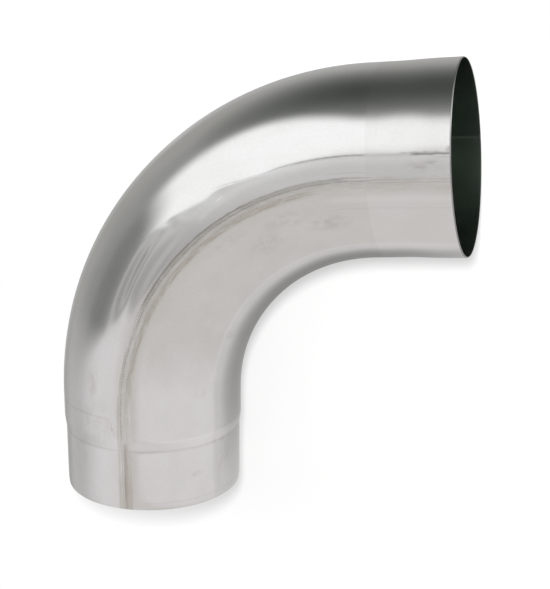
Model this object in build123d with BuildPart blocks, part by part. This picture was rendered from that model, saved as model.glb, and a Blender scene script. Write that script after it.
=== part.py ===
from build123d import *
from math import cos, degrees, radians, sin
import os

# A bend for a round rainwater downpipe, pressed from thin stainless sheet as two half shells and
# welded along both neutral lines. The lower end is drawn in to a spigot, the upper end is opened to
# a socket. It lies on its side: the spigot's axis is Y with its end face at the origin, the bend
# turns towards +X in the XY plane, and +Z is the side that faces up.

# Sheet and pipe, in mm
pipe_diameter = 100.0
wall = 0.5

# The bend
bend_angle = 85.0
bend_radius = 138.0
lower_leg = 54.0
upper_leg = 47.0

# The spigot at the lower end, drawn in past a short conical shoulder
spigot_diameter = 98.3
spigot_length = 34.5
shoulder_length = 4.0

# The socket at the upper end slides over a pipe of the same diameter
socket_clearance = 0.1
socket_depth = 14.0
flare_length = 18.0

# The two weld seams, each rolled flat to a strip that stands a little proud of the sheet
seam_turn = 2.8
seam_width = 7.2
seam_rise = 0.12

pipe_radius = pipe_diameter / 2
spigot_radius = spigot_diameter / 2
socket_radius = pipe_radius + socket_clearance + wall
flare_start = upper_leg - socket_depth - flare_length
seam_bite = wall / 2
seam_half = degrees(seam_width / 2 / pipe_radius)

# A leg is drawn with the pipe's radius along x, towards the heel or outer side of the bend, and
# its length along y. Angles round the pipe count from the heel, so the top of the part is at 90.
lower_plane = Plane(origin=(0, 0, 0), x_dir=(-1, 0, 0), z_dir=(0, 0, -1))
bend_plane = Plane(origin=(0, lower_leg, 0), x_dir=(-1, 0, 0), z_dir=(0, 1, 0))
turn = radians(bend_angle)
bend_centre = Vector(bend_radius, lower_leg, 0)
bend_axis = Axis(bend_centre, (0, 0, -1))
neutral_lines = (90, -90)
upper_origin = bend_centre + Vector(-bend_radius * cos(turn), bend_radius * sin(turn), 0)
upper_plane = Plane(origin=upper_origin, x_dir=(-cos(turn), sin(turn), 0), z_dir=(0, 0, -1))
upper_axis = Axis(upper_origin, upper_plane.y_dir)


def spigot_skin(offset_out):
    """The lower leg's outside from its end face to the bend, moved out by offset_out."""
    rim = Vector(spigot_radius + offset_out, 0)
    shoulder = Vector(spigot_radius + offset_out, spigot_length)
    body = Vector(pipe_radius + offset_out, spigot_length + shoulder_length)
    leg_end = Vector(pipe_radius + offset_out, lower_leg)
    return Polyline(rim, shoulder, body, leg_end)


def socket_skin(offset_out):
    """The upper leg's outside from the bend to the mouth, moved out by offset_out."""
    leg_start = Vector(pipe_radius + offset_out, 0)
    flare = Vector(pipe_radius + offset_out, flare_start)
    parallel = Vector(socket_radius + offset_out, flare_start + flare_length)
    mouth = Vector(socket_radius + offset_out, upper_leg)
    return Polyline(leg_start, flare, parallel, mouth)


def leg_section(plane, skin, low, high):
    """The section between a leg's skin moved by low and the same skin moved by high."""
    with BuildSketch(plane) as section:
        with BuildLine():
            inner = skin(low)
            outer = skin(high)
            Line(inner @ 0, outer @ 0)
            Line(inner @ 1, outer @ 1)
        make_face()
    return section.sketch


def seam_section(middle):
    """The section of the strip where it enters the bend."""
    with BuildSketch(bend_plane) as section:
        with BuildLine():
            inner = CenterArc((0, 0), pipe_radius - seam_bite, middle - seam_half, 2 * seam_half)
            outer = CenterArc((0, 0), pipe_radius + seam_rise, middle - seam_half, 2 * seam_half)
            Line(inner @ 0, outer @ 0)
            Line(inner @ 1, outer @ 1)
        make_face()
    return section.sketch


def turned(plane, angle):
    """A leg's drawing plane, turned about the leg's own axis."""
    x_dir = plane.x_dir.rotate(Axis(plane.origin, plane.y_dir), angle)
    return Plane(origin=plane.origin, x_dir=x_dir, z_dir=x_dir.cross(plane.y_dir))


def add_seam(middle):
    """The strip along the whole bend, centred on an angle round the pipe and sunk into its wall."""
    for plane, skin in ((lower_plane, spigot_skin), (upper_plane, socket_skin)):
        section = leg_section(turned(plane, middle - seam_half), skin, -seam_bite, seam_rise)
        revolve(section, axis=Axis(plane.origin, plane.y_dir), revolution_arc=2 * seam_half)
    revolve(seam_section(middle), axis=bend_axis, revolution_arc=bend_angle)


with BuildPart() as bend:
    revolve(leg_section(lower_plane, spigot_skin, -wall, 0), axis=Axis.Y)
    revolve(leg_section(upper_plane, socket_skin, -wall, 0), axis=upper_axis)
    with BuildSketch(bend_plane):
        Circle(pipe_radius)
        Circle(pipe_radius - wall, mode=Mode.SUBTRACT)
    revolve(axis=bend_axis, revolution_arc=bend_angle)

    for neutral_line in neutral_lines:
        add_seam(neutral_line + seam_turn)

os.makedirs("parts", exist_ok=True)
bend.part.label = "bend"
export_step(bend.part, "parts/bend.step")
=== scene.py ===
"""A stainless steel bend for a rainwater downpipe, lying on its side on a round white board."""

import bpy
import numpy as np
from mathutils import Matrix, Vector


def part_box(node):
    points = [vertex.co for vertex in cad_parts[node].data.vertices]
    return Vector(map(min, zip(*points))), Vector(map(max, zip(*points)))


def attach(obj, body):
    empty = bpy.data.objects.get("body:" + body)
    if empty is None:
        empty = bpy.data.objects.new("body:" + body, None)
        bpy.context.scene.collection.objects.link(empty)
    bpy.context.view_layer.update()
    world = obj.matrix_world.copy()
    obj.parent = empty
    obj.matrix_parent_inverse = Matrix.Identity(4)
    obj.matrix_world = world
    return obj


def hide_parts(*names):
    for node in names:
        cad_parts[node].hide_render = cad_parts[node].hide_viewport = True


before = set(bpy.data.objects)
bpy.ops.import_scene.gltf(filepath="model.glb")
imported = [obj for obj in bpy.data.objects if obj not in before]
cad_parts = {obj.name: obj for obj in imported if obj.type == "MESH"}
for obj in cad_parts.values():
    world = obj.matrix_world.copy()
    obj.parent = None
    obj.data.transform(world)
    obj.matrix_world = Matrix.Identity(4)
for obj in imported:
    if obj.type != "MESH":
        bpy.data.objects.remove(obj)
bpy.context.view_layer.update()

# The bend's own sizes in millimetres, with s counted along the centre line from the spigot's edge.
MM = 0.001
SHEET = 0.5
PIPE_RADIUS = 50.0
SPIGOT_RADIUS = 49.15
SOCKET_RADIUS = 50.6
LOWER_LEG = 54.0
UPPER_LEG = 47.0
TURN = np.radians(85.0)
BEND_RADIUS = 138.0
BEND_END = LOWER_LEG + BEND_RADIUS * TURN
MOUTH = BEND_END + UPPER_LEG
SHOULDER = (32.8, 41.2)
FLARE = (BEND_END + 15.0, BEND_END + 33.0)
NEAR_SEAM = np.radians(92.8)
SEAM_WIDTH = 7.2
SEAM_RISE = 0.12
EDGE_ROUNDING = 0.12

# Shallow folds that the pressing left beside the near weld: two ends as (s, across), half width, depth, in millimetres.
FOLDS = (
    ((102.0, 13.6), (156.0, 19.6), 1.5, 0.17),
    ((104.0, 9.6), (162.0, 16.2), 1.5, -0.15),
    ((108.0, 6.9), (176.0, 11.2), 1.6, 0.15),
    ((114.0, 4.6), (170.0, 6.6), 1.3, -0.08),
    ((154.0, 18.4), (174.0, 12.6), 1.0, -0.09),
    ((184.0, 16.8), (224.0, 12.2), 0.9, -0.08),
    ((174.0, 8.2), (197.0, 14.6), 1.1, 0.10),
)


# ---- Shapes of the sheet -------------------------------------------------------------------------


def corner(x, reach):
    """Nothing below zero and x above it, with a parabola over the reach on either side in place of the kink."""
    return np.where(x <= -reach, 0.0, np.where(x >= reach, x, (x + reach) ** 2 / (4 * reach)))


def cone(s, ends, rise, reach):
    """Climbs by the rise in a straight line between the two ends, each crease rounded over the reach."""
    slope = rise / (ends[1] - ends[0])
    return slope * (corner(s - ends[0], reach) - corner(s - ends[1], reach))


def hump(x, middle, reach):
    """A bell curve, one at the middle, exp(-(distance / reach) squared / 2)."""
    return np.exp(-0.5 * ((x - middle) / reach) ** 2)


def step(x, low, high):
    """Nought at low, one at high, and a smooth S, 3 t squared less 2 t cubed, between them."""
    t = np.clip((x - low) / (high - low), 0.0, 1.0)
    return t * t * (3 - 2 * t)


def outer_radius(s):
    """Spigot radius, then the S curve of the shoulder, the pipe, and the cone of the flare; the spigot's edge draws in."""
    shoulder = (PIPE_RADIUS - SPIGOT_RADIUS) * step(s, *SHOULDER)
    flare = cone(s, FLARE, SOCKET_RADIUS - PIPE_RADIUS, 5.0)
    drawn_in = 0.3 * np.exp(-s / 1.6)
    return SPIGOT_RADIUS + shoulder + flare - drawn_in


def rolled_edge(s):
    """How far the outer skin rolls in at the mouth's edge: a parabola over the last 0.7 mm."""
    return 0.2 * np.clip((s - MOUTH + 0.7) / 0.7, 0.0, 1.0) ** 2


def weld_height(s, across):
    """Height of a weld strip over the sheet: a flat crown with soft sides, cut by three fine grooves along it.

    The crown is the product of two S curves at its sides, and it thins out where the socket begins.
    """
    half = SEAM_WIDTH / 2
    thin = 1 - 0.55 * step(s, 264.0, 272.0)
    crown = step(across, -half, -half + 0.7) * step(across, half, half - 0.7)
    grooves = 0.55 * hump(across, 2.75, 0.22) + 0.5 * hump(across, 1.3, 0.2) + 0.35 * hump(across, -2.7, 0.25)
    return SEAM_RISE * thin * crown * (1 - grooves)


def fold(s, across, start, end, wide):
    """A shallow fold along the straight line between two places: a bell across the line, fading in and out along it.

    With t the share of the way along the line and d the distance from it, the fold is exp(-(d / wide) squared / 2)
    times an S curve that rises over the first third and falls over the last.
    """
    run, rise = end[0] - start[0], end[1] - start[1]
    length = np.hypot(run, rise)
    way = ((s - start[0]) * run + (across - start[1]) * rise) / length ** 2
    off = ((s - start[0]) * rise - (across - start[1]) * run) / length
    return hump(off, 0.0, wide) * step(way, 0.0, 0.33) * step(way, 1.0, 0.67)


def dents(s, across):
    """Depth to which the sheet lies under its true shape: slow waves from the pressing, and a few single hollows.

    The waves are sines along and round the pipe; each hollow is a bell along s times a bell across.
    """
    angle = across / PIPE_RADIUS
    waves = 0.02 * (1 + np.sin(s / 13.0 + 2.0 * np.sin(2 * angle))) + 0.012 * (1 + np.sin(s / 7.3 + 3 * angle))
    waves = waves * step(s, 50.0, 75.0) * step(s, 272.0, 250.0)
    depth = waves
    for along, beside, long, wide, deep in (
        (193.0, 13.6, 5.0, 2.4, 0.14),
        (163.0, 15.6, 2.6, 1.7, 0.11),
        (144.0, 88.0, 22.0, 14.0, 0.35),
        (279.0, -75.0, 5.0, 12.0, 0.35),
        (291.0, -76.0, 5.0, 10.0, 0.18),
        (297.0, 14.2, 5.0, 1.5, 0.05),
    ):
        depth = depth + deep * hump(s, along, long) * hump(across, beside, wide)
    for start, end, wide, deep in FOLDS:
        depth = depth + deep * fold(s, across, start, end, wide)
    return depth + 0.05 * hump(s, 52.2, 0.9) * step(across, 4.0, 12.0)


def centre_line(s):
    """Centre and heel direction of the section at s: straight, then a circle round (bend radius, lower leg), then straight."""
    turn = np.clip((s - LOWER_LEG) / BEND_RADIUS, 0.0, TURN)
    before = np.minimum(s - LOWER_LEG, 0.0)
    after = np.maximum(s - BEND_END, 0.0)
    x = BEND_RADIUS * (1 - np.cos(turn)) + after * np.sin(turn)
    y = LOWER_LEG + BEND_RADIUS * np.sin(turn) + before + after * np.cos(turn)
    return x, y, -np.cos(turn), np.sin(turn)


def spaced(*runs):
    """Positions through runs of (start, end, step), each run leaving its end to the next."""
    parts = [np.linspace(a, b, max(1, round((b - a) / gap)), endpoint=False) for a, b, gap in runs]
    return np.append(np.concatenate(parts), runs[-1][1])


def pipe_profile():
    """The wall's closed outline: out along s, round the mouth's edge, back inside, and round the spigot's edge.

    Gives for each row its s, its depth under the outer skin, and how far it belongs to the inner skin.
    """
    r = EDGE_ROUNDING
    outside = spaced((r, 2.0, 0.5), (2.0, 32.0, 1.9), (32.0, 41.0, 0.28), (41.0, 50.0, 1.6), (50.0, 55.0, 0.5),
                     (55.0, 261.0, 1.35), (261.0, 267.0, 0.5), (267.0, 300.0, 1.3), (300.0, MOUTH - 0.8, 0.9), (MOUTH - 0.8, MOUTH - r, 0.1))
    inside = spaced((r, 32.0, 2.4), (32.0, 41.0, 0.7), (41.0, 262.0, 2.6), (262.0, 300.0, 1.8),
                    (300.0, MOUTH - r, 0.9))[::-1]
    arc = np.radians(np.arange(15.0, 90.0, 15.0))
    flat = np.array([0.5])
    mouth_s = np.concatenate([MOUTH - r + r * np.sin(arc), MOUTH + 0 * flat, MOUTH - r + r * np.cos(arc)])
    mouth_depth = np.concatenate([r * (1 - np.cos(arc)), SHEET * flat, SHEET - r * (1 - np.sin(arc))])
    s = np.concatenate([outside, mouth_s, inside, (MOUTH - mouth_s)[::-1]])
    depth = np.concatenate([0 * outside, mouth_depth, SHEET + 0 * inside, mouth_depth[::-1]])
    return s, depth, depth / SHEET


def round_the_pipe():
    """Distances from the near weld round the pipe, at the pipe's radius: close together on both welds."""
    far = np.pi * PIPE_RADIUS
    half = 4.2
    to_throat = spaced((half, 30.0, 1.9), (30.0, far - half, 2.6))[1:]
    to_heel = spaced((half, 27.0, 0.9), (27.0, far - half, 2.6))[1:]
    under = spaced((far - half, far, 0.32))[1:]
    middle = spaced((-half, half, 0.27))
    return np.concatenate([-under[::-1], -to_throat[::-1], middle, to_heel, under[:-1]])


def pipe_points(s, depth, across):
    """Every point of the wall: the centre line's point plus the radius along heel and height.

    The radius is the outer radius, less the depth, less the dents, plus the welds' height on the outside and less a fine
    root line inside.
    """
    s, depth, across = s[:, None], depth[:, None], across[None, :]
    angle = NEAR_SEAM - across / PIPE_RADIUS
    from_far = np.pi * PIPE_RADIUS - np.abs(across)
    inside = depth / SHEET
    welds = weld_height(s, across) + weld_height(s, from_far * np.sign(across))
    roots = 0.05 * (hump(across, 0.0, 0.5) + hump(from_far, 0.0, 0.5))
    skin = (welds - rolled_edge(s)) * (1 - inside) - roots * inside
    radius = outer_radius(s) - depth - dents(s, across) + skin
    x, y, heel_x, heel_y = centre_line(s)
    return np.stack([x + radius * np.cos(angle) * heel_x, y + radius * np.cos(angle) * heel_y,
                     radius * np.sin(angle)], axis=-1) * MM


def closed_sheet(name, points, rows_uv, columns_uv, attribute):
    """A mesh from a grid of points that closes on itself both ways, with its UV map in metres along and across."""
    rows, columns = points.shape[:2]
    i, j = np.meshgrid(np.arange(rows), np.arange(columns), indexing="ij")
    i, j = i.ravel(), j.ravel()
    next_i, next_j = (i + 1) % rows, (j + 1) % columns
    corners = np.stack([i * columns + j, next_i * columns + j, next_i * columns + next_j, i * columns + next_j], axis=1)
    mesh = bpy.data.meshes.new(name)
    mesh.vertices.add(rows * columns)
    mesh.vertices.foreach_set("co", points.reshape(-1))
    mesh.loops.add(corners.size)
    mesh.loops.foreach_set("vertex_index", corners.reshape(-1))
    mesh.polygons.add(len(corners))
    mesh.polygons.foreach_set("loop_start", np.arange(len(corners)) * 4)
    mesh.polygons.foreach_set("use_smooth", np.ones(len(corners), bool))
    mesh.update(calc_edges=True)
    across = np.append(columns_uv, columns_uv[0] + 2 * np.pi * PIPE_RADIUS)
    u = np.stack([rows_uv[i], rows_uv[next_i], rows_uv[next_i], rows_uv[i]], axis=1)
    v = np.stack([across[j], across[j], across[j + 1], across[j + 1]], axis=1)
    mesh.uv_layers.new(name="sheet").data.foreach_set("uv", np.stack([u, v], axis=-1).reshape(-1) * MM)
    mesh.attributes.new("inside", "FLOAT", "POINT").data.foreach_set("value", np.repeat(attribute, columns))
    mesh.validate()
    thing = bpy.data.objects.new(name, mesh)
    bpy.context.scene.collection.objects.link(thing)
    return thing


# ---- Nodes ---------------------------------------------------------------------------------------


def node(tree, kind, inputs=(), **settings):
    """A node with its settings made and its inputs filled: a value is written in, an output is joined."""
    made = tree.nodes.new(kind)
    for name, value in settings.items():
        setattr(made, name, value)
    for key, value in dict(inputs).items():
        if isinstance(value, bpy.types.NodeSocket):
            tree.links.new(value, made.inputs[key])
        else:
            made.inputs[key].default_value = value
    return made


def calc(tree, operation, *values, clamp=False):
    """One sum of the Math node."""
    return node(tree, "ShaderNodeMath", enumerate(values), operation=operation, use_clamp=clamp).outputs[0]


def smooth(tree, value, low, high):
    """Nought at low and one at high, with a smooth S between; low may be the larger."""
    made = node(tree, "ShaderNodeMapRange", {"Value": value, "From Min": low, "From Max": high},
                interpolation_type="SMOOTHSTEP")
    return made.outputs["Result"]


def product(tree, *factors):
    """All the factors multiplied."""
    result = factors[0]
    for factor in factors[1:]:
        result = calc(tree, "MULTIPLY", result, factor)
    return result


def blend(tree, factor, first, second, blend_type="MIX"):
    """Two colours mixed by the factor."""
    made = tree.nodes.new("ShaderNodeMix")
    made.data_type = "RGBA"
    made.blend_type = blend_type
    for socket, value in zip((made.inputs[0], made.inputs[6], made.inputs[7]), (factor, first, second)):
        if isinstance(value, bpy.types.NodeSocket):
            tree.links.new(value, socket)
        else:
            socket.default_value = value
    return made.outputs[2]


def grey(red, green, blue):
    """A colour with its alpha."""
    return (red, green, blue, 1.0)


# ---- Steel ---------------------------------------------------------------------------------------


def spot(tree, along, across, where, size):
    """A soft spot on the sheet: one at its place (s, across), fading out over its size (long, wide), in millimetres."""
    du = calc(tree, "DIVIDE", calc(tree, "SUBTRACT", along, where[0] * MM), size[0] * MM)
    dv = calc(tree, "DIVIDE", calc(tree, "SUBTRACT", across, where[1] * MM), size[1] * MM)
    squares = calc(tree, "ADD", calc(tree, "MULTIPLY", du, du), calc(tree, "MULTIPLY", dv, dv))
    return smooth(tree, squares, 1.0, 0.0)


def noise(tree, vector, scale, detail=3.0, roughness=0.5):
    """Values round a half from the Noise node."""
    made = node(tree, "ShaderNodeTexNoise", {"Vector": vector, "Scale": scale, "Detail": detail,
                                             "Roughness": roughness})
    return made.outputs["Factor" if "Factor" in made.outputs else "Fac"]


def stretched(tree, vector, along, across):
    """The sheet's own coordinates, in millimetres, divided by a length along and one across."""
    return node(tree, "ShaderNodeVectorMath", {0: vector, 1: (1 / (along * MM), 1 / (across * MM), 1.0)},
                operation="MULTIPLY").outputs[0]


def steel():
    """Plain stainless sheet with its rolling grain, the tint and ripples of both welds, stains and scuffs, and painted
    light and shade: dark crease lines, dark dent marks, light sheen bands, a darker inside and a painted highlight on
    part of the mouth's edge.
    """
    material = bpy.data.materials.new("stainless_sheet")
    material.use_nodes = True
    tree = material.node_tree
    tree.nodes.clear()
    sheet = node(tree, "ShaderNodeUVMap", uv_map="sheet").outputs[0]
    parts = node(tree, "ShaderNodeSeparateXYZ", {0: sheet})
    along, across = parts.outputs[0], parts.outputs[1]
    inside = node(tree, "ShaderNodeAttribute", attribute_name="inside").outputs["Fac"]
    far_across = calc(tree, "SUBTRACT", np.pi * PIPE_RADIUS * MM, calc(tree, "ABSOLUTE", across))
    outside = calc(tree, "SUBTRACT", 1.0, inside)

    grain = noise(tree, stretched(tree, sheet, 9.0, 0.35), 1.0, 4.0, 0.6)
    fine = noise(tree, stretched(tree, sheet, 1.4, 0.7), 1.0, 3.0)
    clouds = noise(tree, stretched(tree, sheet, 26.0, 17.0), 1.0, 4.0, 0.55)

    colour = blend(tree, smooth(tree, clouds, 0.3, 0.7), grey(0.740, 0.732, 0.720), grey(0.774, 0.764, 0.762))
    streaks = blend(tree, smooth(tree, fine, 0.3, 0.7), grey(0.965, 0.965, 0.965), grey(1.0, 1.0, 1.0))
    colour = blend(tree, 1.0, colour, streaks, "MULTIPLY")

    on_weld = smooth(tree, calc(tree, "MINIMUM", calc(tree, "ABSOLUTE", across), far_across), 4.2 * MM, 3.2 * MM)
    on_weld = calc(tree, "MULTIPLY", on_weld, outside)
    wander = calc(tree, "SUBTRACT", noise(tree, stretched(tree, sheet, 7.0, 40.0), 1.0, 3.0), 0.5)
    beside = calc(tree, "ADD", across, calc(tree, "MULTIPLY", wander, 0.9 * MM))
    patches = noise(tree, stretched(tree, sheet, 9.0, 1.3), 1.0, 4.0, 0.6)
    dashes = noise(tree, stretched(tree, sheet, 2.2, 0.5), 1.0, 3.0, 0.6)
    stain = noise(tree, stretched(tree, sheet, 7.0, 3.6), 1.0, 3.0, 0.45)
    tint = product(tree, on_weld, smooth(tree, patches, 0.35, 0.7))
    colour = blend(tree, calc(tree, "MULTIPLY", tint, 0.35), colour, grey(0.60, 0.56, 0.50))
    slant = calc(tree, "ADD", calc(tree, "MULTIPLY", along, 2 * np.pi / (1.35 * MM)),
                 calc(tree, "MULTIPLY", calc(tree, "ABSOLUTE", across), 1.5 / MM))
    chevron = calc(tree, "SINE", calc(tree, "ADD", slant, calc(tree, "MULTIPLY", wander, 9.0)))
    hatch = product(tree, on_weld, smooth(tree, chevron, 0.1, 1.0), smooth(tree, patches, 0.36, 0.6),
                    smooth(tree, along, 232.0 * MM, 200.0 * MM), smooth(tree, along, 36.0 * MM, 90.0 * MM), 0.5)
    colour = blend(tree, hatch, colour, grey(0.42, 0.40, 0.37))

    def line(middle, half, strength, ends, fade, breaks, tone):
        """A soft coloured line along the weld between its ends, broken up where the breaks are low; most are weld tint,
        a few near the mouth are painted shade or painted sheen.
        """
        nonlocal colour
        off = calc(tree, "ABSOLUTE", calc(tree, "SUBTRACT", beside, middle * MM))
        mask = product(tree, smooth(tree, off, 2 * half * MM, 0.0), breaks, outside,
                       smooth(tree, along, (ends[0] - fade) * MM, ends[0] * MM),
                       smooth(tree, along, (ends[1] + fade) * MM, ends[1] * MM), strength)
        colour = blend(tree, mask, colour, tone)

    steady = smooth(tree, patches, 0.15, 0.5)
    broken = smooth(tree, patches, 0.28, 0.66)
    dashed = smooth(tree, dashes, 0.3, 0.6)
    line(0.3, 1.6, 0.22, (118.0, 262.0), 12.0, steady, grey(0.45, 0.44, 0.41))
    line(2.2, 1.0, 0.50, (122.0, 250.0), 8.0, steady, grey(0.40, 0.385, 0.35))
    line(3.0, 0.32, 0.58, (124.0, 196.0), 8.0, steady, grey(0.27, 0.255, 0.22))
    line(3.0, 0.30, 0.38, (196.0, 262.0), 8.0, steady, grey(0.29, 0.275, 0.24))
    line(2.4, 0.70, 0.36, (56.0, 88.0), 8.0, steady, grey(0.42, 0.40, 0.35))
    line(1.3, 0.28, 0.55, (44.0, 262.0), 6.0, dashed, grey(0.30, 0.29, 0.265))
    line(-1.3, 0.28, 0.40, (66.0, 226.0), 12.0, dashed, grey(0.40, 0.37, 0.33))
    line(-2.6, 1.3, 0.46, (72.0, 228.0), 12.0, steady, grey(0.47, 0.44, 0.39))
    line(-3.0, 0.36, 0.50, (84.0, 232.0), 12.0, broken, grey(0.44, 0.405, 0.34))
    line(-1.8, 0.22, 0.36, (110.0, 232.0), 8.0, dashed, grey(0.40, 0.38, 0.33))
    line(3.3, 0.55, 0.40, (0.0, 56.0), 10.0, steady, grey(0.50, 0.46, 0.40))
    line(2.2, 1.5, 0.34, (0.0, 14.0), 9.0, steady, grey(0.50, 0.46, 0.40))
    line(1.9, 1.1, 0.28, (36.0, 48.0), 5.0, steady, grey(0.50, 0.46, 0.41))
    line(-0.4, 1.15, 0.60, (0.0, 36.0), 5.0, steady, grey(0.46, 0.40, 0.36))
    line(0.1, 0.2, 0.50, (9.0, 20.0), 6.0, steady, grey(0.30, 0.25, 0.22))
    line(-2.6, 1.2, 0.34, (0.0, 14.0), 10.0, steady, grey(0.50, 0.46, 0.41))
    line(-3.2, 0.4, 0.40, (0.0, 30.0), 8.0, steady, grey(0.50, 0.46, 0.41))
    line(1.7, 0.35, 0.26, (268.0, 306.0), 5.0, steady, grey(0.50, 0.44, 0.40))
    line(0.3, 0.3, 0.30, (268.0, 306.0), 5.0, steady, grey(0.52, 0.46, 0.42))
    line(5.6, 0.3, 0.20, (247.0, 262.0), 4.0, steady, grey(0.45, 0.42, 0.39))
    # Painted shade: a faint darker line where a shallow groove runs along the collar's throat side.
    line(-12.8, 0.3, 0.25, (250.0, 306.0), 14.0, dashed, grey(0.50, 0.49, 0.48))
    # Painted sheen: a lighter band on the collar's throat side, where a shallow flat beside the weld catches the light.
    line(-7.8, 1.5, 0.35, (250.0, 306.0), 12.0, steady, grey(0.88, 0.87, 0.885))
    # Painted shade: dark marks of small dents along the lower edge of the highlight on the collar, in three lines.
    line(13.5, 0.5, 0.85, (289.0, 304.0), 4.0, steady, grey(0.26, 0.265, 0.255))
    line(14.4, 0.3, 0.55, (284.0, 298.0), 4.0, dashed, grey(0.33, 0.33, 0.325))
    line(11.9, 0.3, 0.30, (299.0, 306.0), 3.0, steady, grey(0.35, 0.355, 0.34))

    for where, size, strength in (
        ((240.0, -19.5), (17.0, 6.0), 0.26),
        ((218.0, -12.4), (18.0, 6.0), 0.20),
        ((200.0, -21.0), (15.0, 7.0), 0.18),
        ((180.0, -9.0), (16.0, 4.0), 0.16),
        ((120.0, -51.0), (6.0, 4.0), 0.20),
        ((70.0, -42.5), (6.0, 5.0), 0.16),
        ((18.5, -41.5), (2.5, 5.0), 0.30),
        ((22.0, -62.0), (9.0, 9.0), 0.20),
        ((36.5, -58.0), (4.5, 15.0), 0.24),
        ((70.0, 19.5), (10.0, 4.0), 0.26),
        ((50.0, 18.0), (15.0, 18.0), 0.15),
        ((30.0, 34.0), (18.0, 14.0), 0.12),
        ((47.3, 6.7), (4.0, 1.0), 0.75),
        ((44.2, 5.8), (2.6, 0.8), 0.65),
        ((293.0, 8.0), (13.0, 4.5), 0.20),
        ((296.6, 13.3), (2.4, 0.8), 0.85),
        ((304.5, 15.2), (1.8, 2.4), 0.70),
        ((297.0, 9.4), (4.5, 0.7), 0.34),
        ((291.5, 7.2), (4.5, 0.8), 0.32),
    ):
        mask = product(tree, spot(tree, along, across, where, size), smooth(tree, stain, 0.32, 0.68), strength, outside)
        colour = blend(tree, mask, colour, grey(0.42, 0.38, 0.355))

    # Painted shade: darker lines where the sheet creases, round the shoulder, at the start of the bend and near the
    # spigot's edge, broken up by the stain noise.
    for place, half, strength, limits in ((34.2, 0.55, 0.16, (-200.0, -180.0)), (39.4, 0.6, 0.09, (-4.0, -12.0)),
                                          (34.0, 0.6, 0.14, (4.0, 30.0)), (52.2, 0.5, 0.20, (4.0, 14.0)),
                                          (4.2, 0.4, 0.12, (-8.0, -14.0))):
        off = calc(tree, "ABSOLUTE", calc(tree, "SUBTRACT", along, place * MM))
        ring = product(tree, smooth(tree, off, 2 * half * MM, 0.0), smooth(tree, stain, 0.1, 0.5), outside,
                       smooth(tree, across, limits[0] * MM, limits[1] * MM), strength)
        colour = blend(tree, ring, colour, grey(0.40, 0.38, 0.36))
    collar = smooth(tree, along, 263.6 * MM, 264.6 * MM)
    throat_side = smooth(tree, across, -2.0 * MM, -8.0 * MM)
    shoulder = product(tree, smooth(tree, along, 34.6 * MM, 36.0 * MM), smooth(tree, along, 41.2 * MM, 39.8 * MM))
    colour = blend(tree, product(tree, collar, smooth(tree, throat_side, 1.0, 0.0), 0.6), colour,
                   grey(0.95, 0.945, 0.94), "MULTIPLY")
    # Painted sheen: a lighter band on the throat side of the collar and of the shoulder, where the sheet's turn catches
    # more light.
    painted_sheen = product(tree, throat_side, calc(tree, "MAXIMUM", calc(tree, "MULTIPLY", collar, 0.30),
                                               calc(tree, "MULTIPLY", shoulder, 0.60)))
    colour = blend(tree, painted_sheen, colour, grey(0.87, 0.86, 0.865))
    # Painted shade: the inside is a darker green grey than the sheet, a little paler on the far throat side.
    deep = smooth(tree, across, -50.0 * MM, -110.0 * MM)
    colour = blend(tree, inside, colour, blend(tree, deep, grey(0.430, 0.495, 0.440), grey(0.555, 0.625, 0.560)))
    root = product(tree, smooth(tree, far_across, 1.0 * MM, 0.4 * MM), inside)
    colour = blend(tree, root, colour, grey(0.80, 0.80, 0.78))
    # The mouth's cut edge: a painted highlight, pale only on the near heel side's stretch that faces the light, dark
    # elsewhere.
    ground = product(tree, smooth(tree, along, (MOUTH - 0.75) * MM, (MOUTH - 0.45) * MM), smooth(tree, inside, 1.0, 0.9))
    painted_edge_highlight = product(tree, smooth(tree, across, 20.0 * MM, 31.0 * MM), smooth(tree, across, 56.0 * MM, 45.0 * MM))
    colour = blend(tree, ground, colour, blend(tree, painted_edge_highlight, grey(0.36, 0.36, 0.355), grey(0.78, 0.78, 0.775)))

    heel = smooth(tree, across, 22.0 * MM, 44.0 * MM)
    rough = calc(tree, "ADD", 0.075, calc(tree, "MULTIPLY", grain, 0.05))
    for mask, more in ((calc(tree, "MULTIPLY", heel, outside), 0.08), (on_weld, 0.06), (collar, 0.045), (ground, 0.12),
                       (inside, 0.035)):
        rough = calc(tree, "ADD", rough, calc(tree, "MULTIPLY", mask, more))

    ripple = product(tree, chevron, on_weld, 0.006 * MM)
    height = calc(tree, "ADD", calc(tree, "MULTIPLY", grain, 0.0022 * MM), ripple)
    height = calc(tree, "ADD", height, calc(tree, "MULTIPLY", fine, 0.0016 * MM))
    bump = node(tree, "ShaderNodeBump", {"Strength": 1.0, "Distance": 1.0, "Height": height})

    shader = node(tree, "ShaderNodeBsdfPrincipled", {"Base Color": colour, "Metallic": 1.0, "Roughness": rough,
                                                     "Normal": bump.outputs[0]})
    node(tree, "ShaderNodeOutputMaterial", {"Surface": shader.outputs[0]})
    return material


# ---- Light, board and camera ---------------------------------------------------------------------


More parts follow.
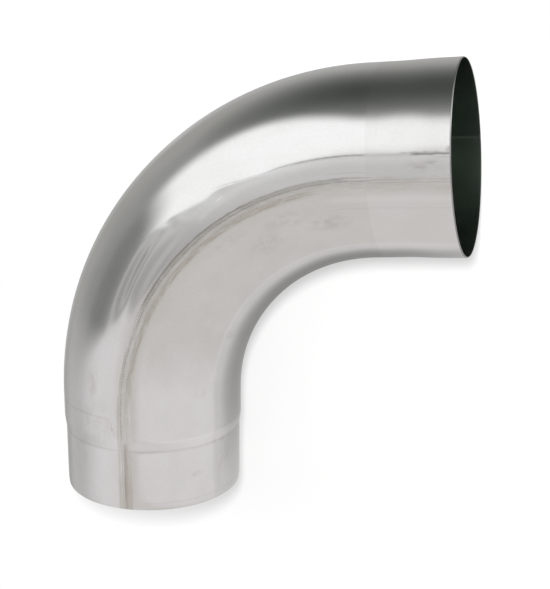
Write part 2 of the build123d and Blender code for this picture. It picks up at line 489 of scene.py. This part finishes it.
def studio():
    """The room round the bend: grey walls, a large soft window of light at the upper left, a pale table side below it.

    Each part is a smooth mask of the direction x, y, z that one looks in. The camera itself sees plain white.
    """
    world = bpy.data.worlds.new("studio")
    bpy.context.scene.world = world
    world.use_nodes = True
    tree = world.node_tree
    tree.nodes.clear()
    towards = node(tree, "ShaderNodeTexCoord").outputs["Generated"]
    parts = node(tree, "ShaderNodeSeparateXYZ", {0: towards})
    x, y, z = parts.outputs[0], parts.outputs[1], parts.outputs[2]

    def slanted(*weights):
        """The direction's x, y and z weighted and summed, with the last weight added plain."""
        total = weights[3]
        for part, weight in zip((x, y, z), weights):
            total = calc(tree, "ADD", total, calc(tree, "MULTIPLY", part, weight))
        return total

    wall = blend(tree, smooth(tree, z, -0.5, 0.0), grey(0.42, 0.42, 0.405), grey(0.34, 0.345, 0.335))
    room = blend(tree, smooth(tree, x, -0.6, 0.1), wall, grey(0.47, 0.47, 0.46))
    dark = node(tree, "ShaderNodeMapRange", {"Value": slanted(-0.2, 0.968, -0.15, 0.0), "From Min": 0.68,
                                             "From Max": 0.99})
    room = blend(tree, dark.outputs["Result"], room, grey(0.066, 0.075, 0.066))
    doorway = product(tree, smooth(tree, x, -0.80, -0.93), smooth(tree, z, -0.05, 0.25))
    room = blend(tree, doorway, room, grey(0.25, 0.258, 0.245))
    overhead = blend(tree, smooth(tree, slanted(0.76, 1.0, 0.0, 0.0), -0.60, -0.33), grey(0.455, 0.455, 0.45),
                     grey(0.70, 0.70, 0.70))
    slats = calc(tree, "SINE", calc(tree, "MULTIPLY", slanted(0.0, 0.0, 1.0, -0.5775), 2 * np.pi / 0.17))
    far_side = smooth(tree, slanted(0.76, 1.0, 0.0, 0.0), -0.36, -0.56)
    shade = calc(tree, "ADD", 1.0, product(tree, slats, far_side, 0.14))
    overhead = node(tree, "ShaderNodeVectorMath", {0: overhead, "Scale": shade}, operation="SCALE").outputs[0]
    room = blend(tree, smooth(tree, z, 0.51, 0.60), room, overhead)

    slope = calc(tree, "MAXIMUM", slanted(0.25, 0.0, 0.0, 0.35), 0.23)
    sill = calc(tree, "SUBTRACT", y, calc(tree, "MULTIPLY", z, slope))
    glow = product(tree, smooth(tree, sill, -0.28, -0.02), smooth(tree, x, -0.64, -0.42),
                   smooth(tree, z, 0.55, 0.75), smooth(tree, sill, 0.15, 0.05),
                   calc(tree, "SUBTRACT", 0.5, calc(tree, "MULTIPLY", smooth(tree, x, -0.38, -0.25), 0.2)))
    room = blend(tree, glow, room, grey(1.10, 1.10, 1.11))
    dip = product(tree, smooth(tree, x, -0.74, -0.52), smooth(tree, x, -0.28, -0.42), 0.052)
    window = product(tree, smooth(tree, calc(tree, "ADD", sill, dip), 0.0, 0.012), smooth(tree, slanted(1.0, 0.6, 0.0, 0.0), -0.79, -0.60),
                     smooth(tree, slanted(-0.985, 0.0, 1.0, 0.0), 0.68, 0.92), smooth(tree, z, -0.02, 0.26),
                     smooth(tree, x, 0.35, 0.1))
    low_right = product(tree, smooth(tree, sill, 0.20, 0.02), smooth(tree, x, -0.36, -0.26))
    pane = blend(tree, low_right, grey(1.19, 1.215, 1.21), grey(1.03, 1.03, 1.025))
    room = blend(tree, window, room, pane)
    bar = calc(tree, "ADD", -0.013, calc(tree, "MULTIPLY", calc(tree, "MAXIMUM", slanted(-1.0, 0.0, 0.0, -0.42), 0.0), 0.3))
    from_bar = calc(tree, "ABSOLUTE", calc(tree, "SUBTRACT", sill, bar))
    bar_tone = blend(tree, smooth(tree, x, -0.45, -0.36), grey(0.50, 0.50, 0.51), grey(0.06, 0.06, 0.06))
    bar_mask = product(tree, smooth(tree, from_bar, 0.017, 0.007), smooth(tree, x, -0.60, -0.56), smooth(tree, x, -0.21, -0.25))
    room = blend(tree, bar_mask, room, bar_tone)
    second_window = product(tree, smooth(tree, x, 0.42, 0.55), smooth(tree, z, -0.15, 0.1), smooth(tree, y, 0.1, 0.3))
    room = blend(tree, second_window, room, grey(1.45, 1.46, 1.45))

    span = calc(tree, "ADD", 0.06, calc(tree, "MULTIPLY", calc(tree, "MAXIMUM", slanted(1.0, 0.0, 0.0, -0.12), 0.0), 0.62))
    far_table = smooth(tree, calc(tree, "DIVIDE", slanted(0.0, -1.0, 0.0, -0.395), span), 0.0, 1.0)
    table = blend(tree, far_table, grey(0.825, 0.813, 0.812), grey(0.705, 0.688, 0.675))
    left_table = blend(tree, smooth(tree, z, -0.1, 0.65), grey(0.58, 0.575, 0.575), grey(0.82, 0.81, 0.815))
    table = blend(tree, smooth(tree, x, -0.22, -0.42), table, left_table)
    table = blend(tree, smooth(tree, z, -0.30, -0.75), table, grey(0.37, 0.37, 0.36))
    table = blend(tree, calc(tree, "MULTIPLY", smooth(tree, z, 0.78, 0.90), smooth(tree, x, 0.1, -0.1)), table,
                  grey(0.69, 0.665, 0.645))
    room_edge = calc(tree, "ADD", slanted(0.0, 1.0, 0.0, 0.177),
                     calc(tree, "MINIMUM", calc(tree, "MULTIPLY", calc(tree, "MAXIMUM", slanted(1.0, 0.0, 0.0, 0.69), 0.0), 0.27),
                          calc(tree, "MULTIPLY", smooth(tree, z, 0.2, 0.5), 0.10)))
    softness = calc(tree, "ADD", 0.022, calc(tree, "MULTIPLY", 0.19, calc(tree, "MAXIMUM", 0.0, slanted(0.0, 0.0, -1.0, 0.55))))
    past_edge = calc(tree, "DIVIDE", room_edge, softness)
    room = blend(tree, smooth(tree, past_edge, 1.0, -1.0), room, table)

    light_path = node(tree, "ShaderNodeLightPath")
    shown = blend(tree, light_path.outputs["Is Camera Ray"], room, grey(1.0, 1.0, 1.0))
    background = node(tree, "ShaderNodeBackground", {"Color": shown, "Strength": 1.0})
    node(tree, "ShaderNodeOutputWorld", {"Surface": background.outputs[0]})


def white_board(height):
    """A flat disc in rings round its middle, under the bend at its lowest point."""
    middle, reach, rings, spokes = (0.11, 0.035), 0.235, 12, 96
    radius = np.linspace(0.0, reach, rings + 1)[1:, None]
    angle = np.linspace(0.0, 2 * np.pi, spokes, endpoint=False)[None, :]
    ring = np.stack([middle[0] + radius * np.cos(angle), middle[1] + radius * np.sin(angle),
                     height + 0 * radius * angle], axis=-1).reshape(-1, 3)
    points = np.vstack([[(*middle, height)], ring])
    here = np.arange(spokes)
    there = (here + 1) % spokes
    faces = [(0, 1 + a, 1 + b) for a, b in zip(here, there)]
    for k in range(rings - 1):
        low, high = 1 + k * spokes, 1 + (k + 1) * spokes
        faces += np.stack([low + here, high + here, high + there, low + there], axis=1).tolist()
    mesh = bpy.data.meshes.new("white_board")
    mesh.from_pydata(points.tolist(), [], faces)
    board = bpy.data.objects.new("white_board", mesh)
    bpy.context.scene.collection.objects.link(board)

    material = bpy.data.materials.new("white_board")
    material.use_nodes = True
    tree = material.node_tree
    tree.nodes.clear()
    path = node(tree, "ShaderNodeLightPath").outputs
    in_metal = calc(tree, "MAXIMUM", path["Is Glossy Ray"], path["Is Transmission Ray"])
    place = node(tree, "ShaderNodeTexCoord").outputs["Object"]
    away = node(tree, "ShaderNodeVectorMath", {0: place, 1: (0.085, 0.10, height)}, operation="DISTANCE").outputs["Value"]
    # As the steel sees it, the board is an emission with a painted shadow: dark near the throat corner, paler further
    # out, and a painted darker grey on its left and far sides.
    tone = blend(tree, smooth(tree, away, 0.02, 0.16), grey(0.30, 0.30, 0.295), grey(0.71, 0.70, 0.695))
    tone = blend(tree, smooth(tree, away, 0.18, 0.29), tone, grey(0.78, 0.77, 0.765))
    spread = node(tree, "ShaderNodeSeparateXYZ", {0: place}).outputs
    painted_dark_sides = calc(tree, "MAXIMUM", smooth(tree, spread[0], 0.02, -0.06), smooth(tree, spread[1], 0.17, 0.24))
    tone = blend(tree, painted_dark_sides, tone, grey(0.49, 0.49, 0.48))
    plain = node(tree, "ShaderNodeBsdfDiffuse", {"Color": grey(0.27, 0.27, 0.27)})
    white = calc(tree, "ADD", 0.51, calc(tree, "MULTIPLY", smooth(tree, away, 0.10, 0.25), 0.14))
    lift = node(tree, "ShaderNodeEmission", {"Strength": calc(tree, "MULTIPLY", path["Is Camera Ray"], white)})
    lit = node(tree, "ShaderNodeAddShader", {0: plain.outputs[0], 1: lift.outputs[0]})
    shown = node(tree, "ShaderNodeEmission", {"Color": tone, "Strength": 1.0})
    both = node(tree, "ShaderNodeMixShader", {0: in_metal, 1: lit.outputs[0], 2: shown.outputs[0]})
    node(tree, "ShaderNodeOutputMaterial", {"Surface": both.outputs[0]})
    mesh.materials.append(material)
    return board


def lamp_by_the_camera():
    """A round soft lamp a little to the upper left of the camera, that throws the narrow shadow at the lower right."""
    lamp = bpy.data.lights.new("lamp_by_the_camera", "POINT")
    lamp.energy = 33.0
    lamp.shadow_soft_size = 0.045
    light = bpy.data.objects.new("lamp_by_the_camera", lamp)
    bpy.context.scene.collection.objects.link(light)
    light.location = (0.237, 0.368, 0.670)
    light.visible_glossy = False


def camera():
    """Looks down on the bend from the photograph's side: turned 16.13 degrees, tilted 16.48 and rolled 0.30."""
    yaw, pitch, roll = np.radians((16.13, 16.48, 0.30))
    back = Vector((np.sin(yaw) * np.cos(pitch), np.sin(pitch), np.cos(yaw) * np.cos(pitch)))
    right = Vector((np.cos(yaw), 0.0, -np.sin(yaw)))
    up = Vector((-np.sin(yaw) * np.sin(pitch), np.cos(pitch), -np.cos(yaw) * np.sin(pitch)))
    turned_right = right * np.cos(roll) + up * np.sin(roll)
    turned_up = up * np.cos(roll) - right * np.sin(roll)
    lens = bpy.data.cameras.new("camera")
    lens.sensor_width = 36.0
    lens.lens = 1342.12 / 589 * 36.0
    lens.clip_start = 0.01
    eye = bpy.data.objects.new("camera", lens)
    bpy.context.scene.collection.objects.link(eye)
    eye.matrix_world = Matrix((
        (turned_right.x, turned_up.x, back.x, 0.26589),
        (turned_right.y, turned_up.y, back.y, 0.32113),
        (turned_right.z, turned_up.z, back.z, 0.67020),
        (0.0, 0.0, 0.0, 1.0),
    ))
    bpy.context.scene.camera = eye


# ---- The bend ------------------------------------------------------------------------------------

row_s, row_depth, row_inside = pipe_profile()
column_across = round_the_pipe()
bend_sheet = closed_sheet("bend_sheet", pipe_points(row_s, row_depth, column_across), row_s, column_across, row_inside)
bend_sheet.data.materials.append(steel())
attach(bend_sheet, "root")
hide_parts("bend")

studio()
white_board(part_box("bend")[0].z)
lamp_by_the_camera()
camera()
bpy.context.scene.view_settings.view_transform = "Standard"
